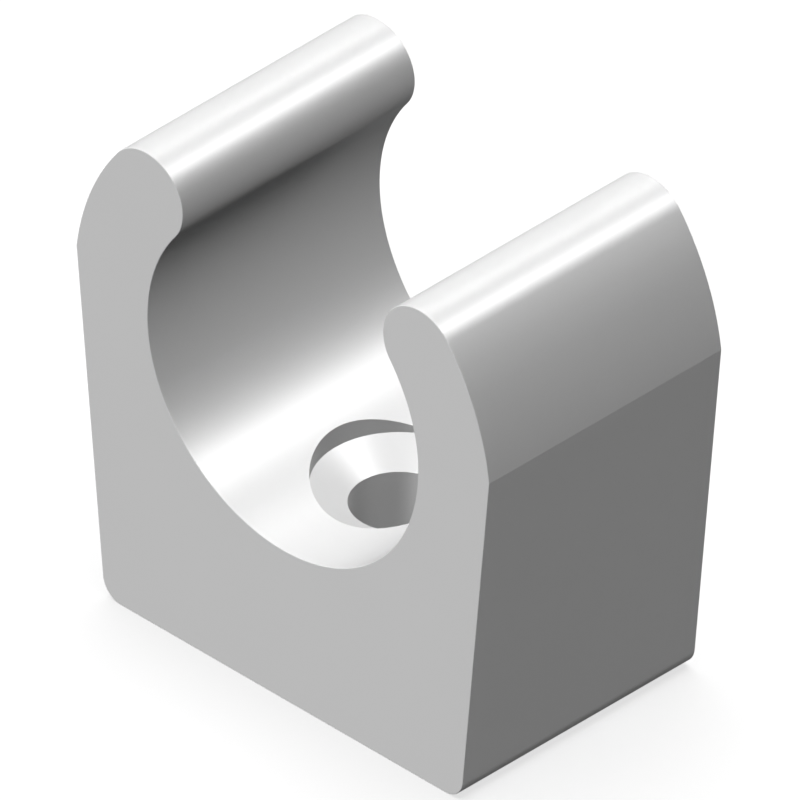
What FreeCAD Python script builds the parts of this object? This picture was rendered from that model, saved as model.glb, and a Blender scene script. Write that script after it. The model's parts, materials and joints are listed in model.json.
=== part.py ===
# Tube clip: one plastic moulding that a screw holds to a wall, and that a tube is pressed into.
# A thick floor carries the screw, and two springy arms close round the tube and end in full rounds.
#
# Lengths are in millimetres and angles in degrees. The clip stands on its base. The origin is the
# middle of the base, X runs across the mouth, Y along the tube, and +Z from the wall to the mouth.
import FreeCAD, Part
import math
import os

from FreeCAD import Vector

# Tube seat and the arms round it
seat_diameter = 15.0  # the tube's own outside diameter, so that the arms grip it
arm_thickness = 4.05  # wall of the arms, from the seat to their outer face
arm_end_angle = 37.3  # where the arms end, above a level line through the tube's axis
floor_thickness = 7.15  # from the base to the lowest line of the seat
clip_length = 12.9  # along the tube

# Foot below the arms
base_width = 19.8  # across the base, before its long corners are rounded
crease_angle = 7.0  # where the flat flanks meet the arms' round outer face, above the level line
base_corner_radius = 1.0

# Screw hole in the floor, for a countersunk wood screw of about 3.5 mm
screw_hole_diameter = 4.05
head_recess_diameter = 7.05  # round pocket that lets the screw's head down to its cone
head_recess_depth = 0.05  # of the pocket's straight wall, below the lowest line of the seat
countersink_depth = 0.85  # of the cone, below the pocket's straight wall
cutter_overrun = 1.0  # how far the cutting tool runs out below the base

# Sizes that follow from those above
seat_radius = seat_diameter / 2
outer_radius = seat_radius + arm_thickness
arm_end_radius = arm_thickness / 2
arm_middle_radius = seat_radius + arm_end_radius
axis_height = floor_thickness + seat_radius


def round_axis(radius, angle):
    """Returns the point at that radius and angle round the tube's axis, in the end face's plane."""
    turn = math.radians(angle)
    return Vector(radius * math.cos(turn), 0, axis_height + radius * math.sin(turn))


def arc_round_axis(radius, start_angle, end_angle):
    """Returns an arc round the tube's axis as an edge."""
    middle_angle = (start_angle + end_angle) / 2
    angles = (start_angle, middle_angle, end_angle)
    return Part.Arc(*(round_axis(radius, angle) for angle in angles)).toShape()


def right_side():
    """Returns the edges from the base up the flat flank, over the arm and round its end."""
    base_corner = Vector(base_width / 2, 0, 0)
    crease = round_axis(outer_radius, crease_angle)
    flank = Part.LineSegment(base_corner, crease).toShape()
    back_of_arm = arc_round_axis(outer_radius, crease_angle, arm_end_angle)

    # The end is a full round, tangent to the arm's back and to the seat. Its tip lies straight on
    # along the arm, a quarter turn on from the direction out to the arm's middle line.
    turn = math.radians(arm_end_angle + 90)
    along_arm = Vector(math.cos(turn), 0, math.sin(turn))
    tip = round_axis(arm_middle_radius, arm_end_angle) + along_arm * arm_end_radius
    outer_end = round_axis(outer_radius, arm_end_angle)
    inner_end = round_axis(seat_radius, arm_end_angle)
    arm_end = Part.Arc(outer_end, tip, inner_end).toShape()
    return [flank, back_of_arm, arm_end]


def end_face():
    """Returns the clip's outline, as a face in the XZ plane."""
    right = right_side()
    left = [edge.mirror(Vector(), Vector(1, 0, 0)) for edge in right]
    seat = arc_round_axis(seat_radius, arm_end_angle, -180 - arm_end_angle)
    base = Part.LineSegment(Vector(-base_width / 2, 0, 0), Vector(base_width / 2, 0, 0)).toShape()
    loop = right + [seat] + left[::-1] + [base]
    return Part.Face(Part.Wire(loop))


def moulded_block():
    """Returns the outline drawn out along the tube, with the base's two long corners rounded."""
    face = end_face()
    face.translate(Vector(0, -clip_length / 2, 0))
    block = face.extrude(Vector(0, clip_length, 0))
    long_corners = [edge for edge in block.Edges if runs_along_base(edge)]
    return block.makeFillet(base_corner_radius, long_corners)


def runs_along_base(edge):
    """Says whether an edge lies in the base and runs the whole length of the clip."""
    in_base = abs(edge.BoundBox.ZMax) < Part.Precision.confusion()
    return in_base and edge.BoundBox.YLength > clip_length / 2


def screw_cutter():
    """Returns what the screw takes up: its hole, the cone under its head, and the way in for it."""
    hole_radius = screw_hole_diameter / 2
    head_radius = head_recess_diameter / 2
    cone_top = floor_thickness - head_recess_depth
    cone_foot = cone_top - countersink_depth
    half_section = Part.makePolygon(
        [
            Vector(0, 0, -cutter_overrun),
            Vector(hole_radius, 0, -cutter_overrun),
            Vector(hole_radius, 0, cone_foot),
            Vector(head_radius, 0, cone_top),
            Vector(head_radius, 0, axis_height),
            Vector(0, 0, axis_height),
            Vector(0, 0, -cutter_overrun),
        ]
    )
    return Part.Face(half_section).revolve(Vector(), Vector(0, 0, 1), 360)


def clip_body():
    """Returns the whole clip, which is one moulding."""
    return moulded_block().cut(screw_cutter()).removeSplitter()


def main():
    """Writes one STEP file for each piece of the clip, and the clip has one piece."""
    os.makedirs("parts", exist_ok=True)
    pieces = {"clip_body": clip_body()}
    for name, shape in pieces.items():
        shape.exportStep(f"parts/{name}.step")
        solids = len(shape.Solids)
        size = shape.BoundBox
        print(f"{name}: {solids} solid, {size.XLength:.2f} x {size.YLength:.2f} x {size.ZLength:.2f} mm")


main()
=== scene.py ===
"""A white moulded tube clip on a plain pale floor, seen from above one corner in soft studio light.

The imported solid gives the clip's mounts and overall size. This script builds the same moulding on them
with smooth arcs and softened edges, gives it its plastic finish, and sets up the floor, the backdrop,
the lamps and the camera. Everything is in metres, in the clip's own frame: X runs across the mouth,
Y along the tube, and +Z from the base to the mouth.
"""

import json
import logging
import math
from dataclasses import dataclass
from enum import Enum

import bmesh
import bpy
from mathutils import Matrix, Vector


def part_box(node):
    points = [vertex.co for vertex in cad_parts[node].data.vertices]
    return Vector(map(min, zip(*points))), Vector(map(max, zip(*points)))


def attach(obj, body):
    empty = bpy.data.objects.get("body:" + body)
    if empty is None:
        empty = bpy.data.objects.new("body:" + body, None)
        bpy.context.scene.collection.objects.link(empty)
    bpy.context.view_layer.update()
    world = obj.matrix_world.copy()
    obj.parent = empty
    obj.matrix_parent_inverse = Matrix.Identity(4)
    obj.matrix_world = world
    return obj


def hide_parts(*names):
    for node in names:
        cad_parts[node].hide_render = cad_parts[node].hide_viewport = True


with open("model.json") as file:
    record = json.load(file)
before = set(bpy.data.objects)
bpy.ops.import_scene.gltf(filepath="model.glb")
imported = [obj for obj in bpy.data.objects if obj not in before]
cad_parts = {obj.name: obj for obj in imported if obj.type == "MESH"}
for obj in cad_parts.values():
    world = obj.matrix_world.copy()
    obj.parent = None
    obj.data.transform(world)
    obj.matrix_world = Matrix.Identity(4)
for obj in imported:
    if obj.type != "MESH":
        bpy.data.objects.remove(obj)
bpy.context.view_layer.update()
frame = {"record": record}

MM = 0.001
log = logging.getLogger("tube_clip")

Direction = tuple[float, float, float]
Ring = list[Vector]


class Ray(Enum):
    """The kinds of ray that see the plain white backdrop, by the names of their Light Path outputs."""

    CAMERA = "Is Camera Ray"
    GLOSSY = "Is Glossy Ray"
    TRANSMISSION = "Is Transmission Ray"


class Nodes:
    """Adds nodes to one tree, and links them by socket."""

    def __init__(self, tree: bpy.types.NodeTree) -> None:
        """Takes over a tree and empties it.

        Args:
            tree: The node tree of a material or a world.
        """
        self.tree = tree
        tree.nodes.clear()

    def add(self, kind: str, **settings: object) -> bpy.types.Node:
        """Adds a node and sets its values.

        Args:
            kind: The node's type.
            **settings: Its properties by name.

        Returns:
            The new node.
        """
        node = self.tree.nodes.new(kind)
        for name, value in settings.items():
            setattr(node, name, value)
        return node

    def link(self, source: bpy.types.NodeSocket, target: bpy.types.NodeSocket) -> None:
        """Feeds one socket into another."""
        self.tree.links.new(source, target)

    def seen_white(self, mirrored: float) -> bpy.types.NodeSocket:
        """Says how much of the plain white backdrop each ray sees.

        Args:
            mirrored: The share that reflections and clear materials show of it.

        Returns:
            A socket that is 1 on the camera's rays, and 0 on the rays that light a matt surface.
        """
        path = self.add("ShaderNodeLightPath")
        reflected = self.add("ShaderNodeMath", operation="MAXIMUM")
        self.link(path.outputs[Ray.GLOSSY.value], reflected.inputs[0])
        self.link(path.outputs[Ray.TRANSMISSION.value], reflected.inputs[1])
        dimmed = self.add("ShaderNodeMath", operation="MULTIPLY")
        self.link(reflected.outputs[0], dimmed.inputs[0])
        dimmed.inputs[1].default_value = mirrored
        seen = self.add("ShaderNodeMath", operation="MAXIMUM")
        self.link(path.outputs[Ray.CAMERA.value], seen.inputs[0])
        self.link(dimmed.outputs[0], seen.inputs[1])
        return seen.outputs[0]


@dataclass(frozen=True)
class Grain:
    """A fine unevenness that fills the surface, as a pattern in the clip's own space.

    Attributes:
        cell: The size of its features, in metres.
        detail: How many finer layers lie on it.
    """

    cell: float
    detail: float = 2.0

    def place(self, nodes: Nodes) -> bpy.types.NodeSocket:
        """Adds the pattern to a material.

        Args:
            nodes: The material's tree.

        Returns:
            Its value, from 0 to 1 and 0.5 on average.
        """
        place = nodes.add("ShaderNodeTexCoord")
        noise = nodes.add("ShaderNodeTexNoise", noise_dimensions="3D")
        noise.inputs["Scale"].default_value = 1 / self.cell
        noise.inputs["Detail"].default_value = self.detail
        nodes.link(place.outputs["Object"], noise.inputs["Vector"])
        return noise.outputs["Fac"]


@dataclass(frozen=True)
class MouldedPlastic:
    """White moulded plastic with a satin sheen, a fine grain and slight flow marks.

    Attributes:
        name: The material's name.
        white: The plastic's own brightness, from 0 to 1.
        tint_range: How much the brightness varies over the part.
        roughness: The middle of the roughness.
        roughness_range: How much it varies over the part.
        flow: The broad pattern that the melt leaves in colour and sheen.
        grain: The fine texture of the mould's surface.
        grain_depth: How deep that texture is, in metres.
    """

    name: str = "moulded_plastic"
    white: float = 0.80
    tint_range: float = 0.012
    roughness: float = 0.356
    roughness_range: float = 0.05
    flow: Grain = Grain(cell=4.0 * MM, detail=3.0)
    grain: Grain = Grain(cell=0.11 * MM)
    grain_depth: float = 0.0006 * MM

    def material(self) -> bpy.types.Material:
        """Builds the material.

        Returns:
            The new material.
        """
        made = bpy.data.materials.new(self.name)
        made.use_nodes = True
        nodes = Nodes(made.node_tree)
        surface = nodes.add("ShaderNodeBsdfPrincipled")
        flow = self.flow.place(nodes)
        self._colour(nodes, flow, surface)
        self._sheen(nodes, flow, surface)
        self._relief(nodes, surface)
        out = nodes.add("ShaderNodeOutputMaterial")
        nodes.link(surface.outputs["BSDF"], out.inputs["Surface"])
        return made

    def _colour(self, nodes: Nodes, flow: bpy.types.NodeSocket, surface: bpy.types.Node) -> None:
        """Lets the brightness drift a little with the flow of the melt.

        Args:
            nodes: The material's tree.
            flow: The broad pattern.
            surface: The shader that takes the colour.
        """
        low, high = self.white - self.tint_range / 2, self.white + self.tint_range / 2
        blend = nodes.add("ShaderNodeMix", data_type="RGBA")
        nodes.link(flow, blend.inputs["Factor"])
        blend.inputs["A"].default_value = (low, low, low, 1)
        blend.inputs["B"].default_value = (high, high, high, 1)
        nodes.link(blend.outputs["Result"], surface.inputs["Base Color"])

    def _sheen(self, nodes: Nodes, flow: bpy.types.NodeSocket, surface: bpy.types.Node) -> None:
        """Varies the roughness with the flow of the melt.

        Args:
            nodes: The material's tree.
            flow: The broad pattern.
            surface: The shader that takes the roughness.
        """
        spread = nodes.add("ShaderNodeMapRange")
        nodes.link(flow, spread.inputs["Value"])
        spread.inputs["To Min"].default_value = self.roughness - self.roughness_range / 2
        spread.inputs["To Max"].default_value = self.roughness + self.roughness_range / 2
        nodes.link(spread.outputs["Result"], surface.inputs["Roughness"])

    def _relief(self, nodes: Nodes, surface: bpy.types.Node) -> None:
        """Adds the mould's fine texture.

        Args:
            nodes: The material's tree.
            surface: The shader that takes the normal.
        """
        relief = nodes.add("ShaderNodeBump")
        relief.inputs["Distance"].default_value = self.grain_depth
        nodes.link(self.grain.place(nodes), relief.inputs["Height"])
        nodes.link(relief.outputs["Normal"], surface.inputs["Normal"])


def polar(radius: float, angle: float) -> Vector:
    """Returns the point of the XZ plane at a radius and an angle, in degrees from +X towards +Z."""
    turn = math.radians(angle)
    return Vector((radius * math.cos(turn), 0, radius * math.sin(turn)))


def mount(name: str) -> dict:
    """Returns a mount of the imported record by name."""
    return next(each for each in frame["record"]["mounts"] if each["name"] == name)


def loft(name: str, rings: list[Ring]) -> bpy.types.Object:
    """Joins rings of equally many points into a closed piece, with a flat face at either end.

    Args:
        name: The piece's name.
        rings: The rings in order along the piece.

    Returns:
        The piece, in the scene.
    """
    shape = bmesh.new()
    loops = [[shape.verts.new(point) for point in ring] for ring in rings]
    for near, far in zip(loops, loops[1:]):
        for k in range(len(near)):
            shape.faces.new((near[k - 1], near[k], far[k], far[k - 1]))
    shape.faces.new(loops[0])
    shape.faces.new(loops[-1])
    bmesh.ops.recalc_face_normals(shape, faces=shape.faces)
    mesh = bpy.data.meshes.new(name)
    shape.to_mesh(mesh)
    shape.free()
    piece = bpy.data.objects.new(name, mesh)
    bpy.context.scene.collection.objects.link(piece)
    return piece


def apply_modifiers(piece: bpy.types.Object) -> None:
    """Turns a piece's modifiers into its own mesh.

    Args:
        piece: The piece, which has no modifiers left afterwards.
    """
    seen = piece.evaluated_get(bpy.context.evaluated_depsgraph_get())
    mesh = bpy.data.meshes.new_from_object(seen)
    piece.modifiers.clear()
    piece.data = mesh


@dataclass(frozen=True)
class Arc:
    """A stretch of the clip's outline that runs round one centre.

    Attributes:
        centre: The centre, in the XZ plane.
        radius: The radius, in metres.
        first: The direction that the surface faces where the arc starts, in degrees.
        last: The direction that it faces where the arc ends.
        step: The most that one division may turn, in degrees.
        hollow: Whether the surface faces the centre.
    """

    centre: Vector
    radius: float
    first: float
    last: float
    step: float
    hollow: bool = False

    def points(self) -> list[tuple[Vector, Vector]]:
        """Divides the arc.

        Returns:
            Its points in order, each with the direction that the surface faces there.
        """
        turned = self.last - self.first
        count = math.ceil(abs(turned) / self.step)
        reach = -self.radius if self.hollow else self.radius
        facings = [polar(1, self.first + turned * k / count) for k in range(count + 1)]
        return [(self.centre + facing * reach, facing) for facing in facings]


@dataclass
class ScrewSeat:
    """The way for the screw: its hole, the cone under its head, and the round recess over the cone.

    Attributes:
        hole_radius: The hole's radius.
        floor: How high the lowest line of the tube's seat lies.
        top: How high the cutter reaches, above the curved floor of the seat.
        recess_radius: The radius of the head's recess.
        recess_depth: The depth of its straight wall, below the lowest line of the seat.
        cone_depth: The depth of the cone below that.
        overrun: How far the cutter runs out below the base.
        divisions: How many sides stand for a full circle.
    """

    hole_radius: float
    floor: float
    top: float
    recess_radius: float = 3.525 * MM
    recess_depth: float = 0.05 * MM
    cone_depth: float = 0.85 * MM
    overrun: float = 1.0 * MM
    divisions: int = 120

    def cutter(self) -> bpy.types.Object:
        """Builds the shape that the screw and its head need free.

        Returns:
            The cutter.
        """
        cone_top = self.floor - self.recess_depth
        cone_foot = cone_top - self.cone_depth
        profile = [
            (self.hole_radius, -self.overrun),
            (self.hole_radius, cone_foot),
            (self.recess_radius, cone_top),
            (self.recess_radius, self.top),
        ]
        return loft("screw_cutter", [self._circle(radius, height) for radius, height in profile])

    def cut(self, body: bpy.types.Object) -> None:
        """Cuts the way for the screw down through the moulding.

        Args:
            body: The moulding.
        """
        cutter = self.cutter()
        cut = body.modifiers.new("screw_seat", "BOOLEAN")
        cut.operation = "DIFFERENCE"
        cut.solver = "EXACT"
        cut.object = cutter
        apply_modifiers(body)
        bpy.data.objects.remove(cutter)

    def _circle(self, radius: float, height: float) -> Ring:
        """Returns a level ring round the screw's axis."""
        turns = [2 * math.pi * k / self.divisions for k in range(self.divisions)]
        return [Vector((radius * math.cos(turn), radius * math.sin(turn), height)) for turn in turns]


@dataclass
class ClipBody:
    """The clip, which is one moulding.

    Attributes:
        seat_radius: The radius of the tube's seat.
        axis_height: How high the tube's axis lies above the base.
        hole_radius: The radius of the screw's hole.
        length: The clip's length along the tube.
        arm_thickness: The arms' wall, from the seat to their outer face.
        arm_end: Where the arms end, in degrees above a level line through the tube's axis.
        base_width: The width of the base before its long corners are rounded.
        base_corner: The radius of those corners.
        crease: Where the flanks meet the arms' round outer face, in degrees above the level line.
        crease_radius: How far that meeting is softened.
        edge_radius: The radius of the edges round both end faces.
        edge_steps: How many strips make up such an edge.
        sharp_from: The turn, in degrees, from which an edge is shaded sharp.
        wide_step: The most that a division of the seat or of an arm's back may turn, in degrees.
        round_step: The same for the arms' ends and the creases.
        corner_step: The same for the base's corners.
        joined_within: How near two arcs of the outline end to share a point.
        welded_within: How near two of the mesh's points are to be welded after the cut.
        node: The clip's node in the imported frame.
        finish: The plastic that it is moulded in.
    """

    seat_radius: float
    axis_height: float
    hole_radius: float
    length: float
    arm_thickness: float = 4.05 * MM
    arm_end: float = 37.3
    base_width: float = 19.8 * MM
    base_corner: float = 1.0 * MM
    crease: float = 7.0
    crease_radius: float = 0.4 * MM
    edge_radius: float = 0.035 * MM
    edge_steps: int = 4
    sharp_from: float = 30.0
    wide_step: float = 1.5
    round_step: float = 4.0
    corner_step: float = 6.0
    joined_within: float = 0.00035 * MM
    welded_within: float = 0.000035 * MM
    node: str = "clip_body"
    finish: MouldedPlastic = MouldedPlastic()

    @classmethod
    def on_frame(cls) -> "ClipBody":
        """Takes the mounts' sizes and the clip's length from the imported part.

        Returns:
            The clip with those sizes.
        """
        seat, hole = mount("tube_seat"), mount("screw_hole")
        low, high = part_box(cls.node)
        return cls(
            seat_radius=seat["dims"]["r_mm"] * MM,
            axis_height=seat["pos_m"][2],
            hole_radius=hole["dims"]["r_mm"] * MM,
            length=high.y - low.y,
        )

    def build(self) -> bpy.types.Object:
        """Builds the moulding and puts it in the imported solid's place.

        Returns:
            The moulding.
        """
        body = loft("clip_moulding", self._rings())
        floor = self.axis_height - self.seat_radius
        ScrewSeat(self.hole_radius, floor, top=self.axis_height).cut(body)
        self._shade(body)
        body.data.materials.clear()
        body.data.materials.append(self.finish.material())
        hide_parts(self.node)
        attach(body, "root")
        size = [round(side / MM, 2) for side in body.dimensions]
        log.info("%s: %s mm, %d faces, in %s", body.name, size, len(body.data.polygons), self.finish.name)
        return body

    def _right_side(self) -> list[Arc]:
        """Lays out the arcs from the base's right corner over the arm and down to the seat's middle.

        The straight stretches between them, the base and the flank, need no arcs of their own.

        Returns:
            The arcs in order.
        """
        axis = Vector((0, 0, self.axis_height))
        outer = self.seat_radius + self.arm_thickness
        end_radius = self.arm_thickness / 2
        foot = Vector((self.base_width / 2, 0, 0))
        flank = axis + polar(outer, self.crease) - foot
        flank_facing = -math.degrees(math.atan2(flank.x, flank.z))
        facing = polar(1, flank_facing)

        # The corner's centre is one radius above the base and one radius inside the flank.
        lift = self.base_corner
        inset = lift * (1 + facing.z) / facing.x
        corner_centre = foot + Vector((-inset, 0, lift))

        # The crease's centre is one radius inside both the flank and the arm's round back.
        to_centre = outer - self.crease_radius
        flank_reach = facing.dot(foot - axis) - self.crease_radius
        back_starts = flank_facing + math.degrees(math.acos(flank_reach / to_centre))
        crease_centre = axis + polar(to_centre, back_starts)

        end_centre = axis + polar(self.seat_radius + end_radius, self.arm_end)
        seat_starts = self.arm_end + 180
        return [
            Arc(corner_centre, self.base_corner, -90, flank_facing, self.corner_step),
            Arc(crease_centre, self.crease_radius, flank_facing, back_starts, self.round_step),
            Arc(axis, outer, back_starts, self.arm_end, self.wide_step),
            Arc(end_centre, end_radius, self.arm_end, seat_starts, self.round_step),
            Arc(axis, self.seat_radius, seat_starts, 90, self.wide_step, hollow=True),
        ]

    def _outline(self) -> list[tuple[Vector, Vector]]:
        """Divides the outline of the clip's end face.

        Returns:
            Its points in order, each with the direction that the surface faces there.
        """
        right = []
        for arc in self._right_side():
            points = arc.points()
            met = bool(right) and (points[0][0] - right[-1][0]).length < self.joined_within
            right += points[1:] if met else points
        mirror = Matrix.Scale(-1, 3, (1, 0, 0))
        left = [(mirror @ point, mirror @ facing) for point, facing in right[-2::-1]]
        return right + left

    def _rings(self) -> list[Ring]:
        """Lays the outline along the tube, drawn in at both ends to round their edges.

        Returns:
            The rings from the front to the back.
        """
        outline = self._outline()
        front = []
        for k in range(self.edge_steps + 1):
            turn = math.pi / 2 * k / self.edge_steps
            back_by = self.edge_radius * (1 - math.cos(turn))
            drawn_in = self.edge_radius * (1 - math.sin(turn))
            front.append((back_by - self.length / 2, drawn_in))
        stations = front + [(-y, drawn_in) for y, drawn_in in reversed(front)]
        return [
            [point - facing * drawn_in + Vector((0, y, 0)) for point, facing in outline]
            for y, drawn_in in stations
        ]

    def _shade(self, body: bpy.types.Object) -> None:
        """Shades the curves smoothly, and keeps the edges of the screw's seat sharp.

        Args:
            body: The moulding.
        """
        shape = bmesh.new()
        shape.from_mesh(body.data)
        bmesh.ops.remove_doubles(shape, verts=shape.verts, dist=self.welded_within)
        for face in shape.faces:
            face.smooth = True
        for edge in shape.edges:
            edge.smooth = edge.calc_face_angle(0) < math.radians(self.sharp_from)
        shape.to_mesh(body.data)
        shape.free()
        body.modifiers.new("flat_faces_first", "WEIGHTED_NORMAL").keep_sharp = True
        apply_modifiers(body)


@dataclass(frozen=True)
class Lamp:
    """A lamp far away, which lights every surface from one direction.

    Attributes:
        name: The lamp's name, after what it does.
        towards: The direction from the clip to the lamp.
        strength: The light that falls on a surface square to it, in watts to the square metre.
        spread: How wide the lamp looks from the clip, in degrees.
        shadows: Whether it casts shadows.
        glossy_only: Whether it shows only as a highlight.
        bounces: How many times its light goes on from one surface to the next.
        unhidden: Whether its highlight shows in full where another wall of the clip would hide it.
    """

    name: str
    towards: Direction
    strength: float
    spread: float
    shadows: bool = False
    glossy_only: bool = False
    bounces: int = 0
    unhidden: bool = False

    def place(self) -> bpy.types.Object:
        """Hangs the lamp.

        Returns:
            The lamp's object.
        """
        light = bpy.data.lights.new(self.name, "SUN")
        light.energy = self.strength
        light.angle = math.radians(self.spread)
        light.use_shadow = self.shadows
        light.cycles.max_bounces = self.bounces
        light.cycles.use_multiple_importance_sampling = not self.unhidden
        lamp = bpy.data.objects.new(self.name, light)
        lamp.rotation_mode = "QUATERNION"
        lamp.rotation_quaternion = Vector(self.towards).to_track_quat("Z", "Y")
        lamp.visible_diffuse = not self.glossy_only
        bpy.context.scene.collection.objects.link(lamp)
        return lamp


@dataclass
class Studio:
    """The floor, the backdrop and the lamps.

    Attributes:
        floor_size: The side of the square floor, in metres.
        floor_white: The floor's own brightness.
        floor_glow: The share of the floor's white that no shadow takes away.
        mirrored: The share of the backdrop's white that shows in reflections.
        glow_mirrored: The share of the floor's glow that shows in them.
        ambient: The brightness of the light from all round.
        lamps: The lamps that light the clip.
        floor_lamp: The lamp that lights the floor alone, and casts the clip's shadow there.
    """

    floor_size: float = 4.0
    floor_white: float = 0.80
    floor_glow: float = 0.70
    mirrored: float = 0.50
    glow_mirrored: float = 0.30
    ambient: float = 0.025
    lamps: tuple[Lamp, ...] = (
        Lamp("key", (-0.437, -0.420, 0.796), strength=2.496, spread=15),
        Lamp("front_fill", (0.169, -0.961, 0.218), strength=0.855, spread=20),
        Lamp("top", (0.443, 0.405, 0.800), strength=1.126, spread=15),
        Lamp("top_sheen", (0.443, 0.405, 0.800), strength=3.879, spread=30, glossy_only=True, bounces=1),
        Lamp("left_rim", (-0.350, 0.687, 0.637), strength=0.650, spread=22, unhidden=True),
        Lamp("back_fill", (-0.25, 0.93, -0.22), strength=0.80, spread=20),
    )
    floor_lamp: Lamp = Lamp("floor_light", (-0.15, 0.10, 1.0), strength=1.5, spread=70, shadows=True)

    def build(self, clip: bpy.types.Object) -> None:
        """Makes the floor and the backdrop, and hangs the lamps.

        Args:
            clip: What the lamps light.
        """
        floor = self._floor()
        for lamp in self.lamps:
            self._light_only(lamp.place(), clip)
        self._light_only(self.floor_lamp.place(), floor)
        self._backdrop()
        log.info("studio: %d lamps on the clip and one on the floor", len(self.lamps))

    def _light_only(self, lamp: bpy.types.Object, lit: bpy.types.Object) -> None:
        """Keeps a lamp's light to one object.

        Args:
            lamp: The lamp's object.
            lit: What it lights.
        """
        group = bpy.data.collections.new(f"lit_by_{lamp.name}")
        group.objects.link(lit)
        lamp.light_linking.receiver_collection = group

    def _floor(self) -> bpy.types.Object:
        """Lays the floor under the clip's base.

        Returns:
            The floor.
        """
        half = self.floor_size / 2
        corners = [(-half, -half, 0), (half, -half, 0), (half, half, 0), (-half, half, 0)]
        mesh = bpy.data.meshes.new("floor")
        mesh.from_pydata([Vector(c) for c in corners], [], [range(len(corners))])
        floor = bpy.data.objects.new("floor", mesh)
        bpy.context.scene.collection.objects.link(floor)
        floor.data.materials.append(self._floor_paint())
        return floor

    def _floor_paint(self) -> bpy.types.Material:
        """Builds the floor's matt white, which shows white and still takes the clip's shadow.

        Returns:
            The floor's material.
        """
        made = bpy.data.materials.new("matt_white")
        made.use_nodes = True
        nodes = Nodes(made.node_tree)
        matt = nodes.add("ShaderNodeBsdfDiffuse")
        matt.inputs["Color"].default_value = (self.floor_white,) * 3 + (1,)
        glow = nodes.add("ShaderNodeEmission")
        nodes.link(nodes.seen_white(self.glow_mirrored), glow.inputs["Strength"])
        glow.inputs["Color"].default_value = (self.floor_glow,) * 3 + (1,)
        both = nodes.add("ShaderNodeAddShader")
        nodes.link(matt.outputs["BSDF"], both.inputs[0])
        nodes.link(glow.outputs["Emission"], both.inputs[1])
        out = nodes.add("ShaderNodeOutputMaterial")
        nodes.link(both.outputs["Shader"], out.inputs["Surface"])
        return made

    def _backdrop(self) -> None:
        """Makes the world white to the eye and in reflections, and a faint light from all round."""
        world = bpy.data.worlds.new("backdrop")
        world.use_nodes = True
        nodes = Nodes(world.node_tree)
        strength = nodes.add("ShaderNodeMapRange")
        nodes.link(nodes.seen_white(self.mirrored), strength.inputs["Value"])
        strength.inputs["To Min"].default_value = self.ambient
        sky = nodes.add("ShaderNodeBackground")
        nodes.link(strength.outputs["Result"], sky.inputs["Strength"])
        out = nodes.add("ShaderNodeOutputWorld")
        nodes.link(sky.outputs["Background"], out.inputs["Surface"])
        bpy.context.scene.world = world


@dataclass
class Camera:
    """The camera, which looks down on one corner of the clip with no perspective.

    Attributes:
        azimuth: Where it stands round the clip, in degrees from the front face.
        elevation: How far above level it stands, in degrees.
        view_width: The width of what it sees, in metres.
        rise: How far above the origin the middle of the picture lies, in the picture's plane.
        shift_right: How far to the right of the origin it lies there.
        distance: How far away it stands.
    """

    azimuth: float = 45.0
    elevation: float = math.degrees(math.atan(1 / math.sqrt(2)))
    view_width: float = 31.40 * MM
    rise: float = 9.09 * MM
    shift_right: float = 0.04 * MM
    distance: float = 0.3

    def place(self) -> None:
        """Sets the scene's camera."""
        turn = Matrix.Rotation(math.radians(self.azimuth), 3, "Z")
        tip = Matrix.Rotation(math.radians(90 - self.elevation), 3, "X")
        axes = turn @ tip
        lens = bpy.data.cameras.new("camera")
        lens.type = "ORTHO"
        lens.ortho_scale = self.view_width
        camera = bpy.data.objects.new("camera", lens)
        camera.location = axes @ Vector((self.shift_right, self.rise, self.distance))
        camera.rotation_euler = axes.to_euler()
        bpy.context.scene.collection.objects.link(camera)
        bpy.context.scene.camera = camera
        log.info("camera: azimuth %.1f, elevation %.2f degrees", self.azimuth, self.elevation)


def main() -> None:
    """Builds the clip, and sets up the studio and the camera round it."""
    logging.basicConfig(level=logging.INFO, format="%(name)s: %(message)s")
    bpy.context.scene.view_settings.view_transform = "Standard"
    clip = ClipBody.on_frame().build()
    Studio().build(clip)
    Camera().place()


if __name__ == "__main__":
    main()
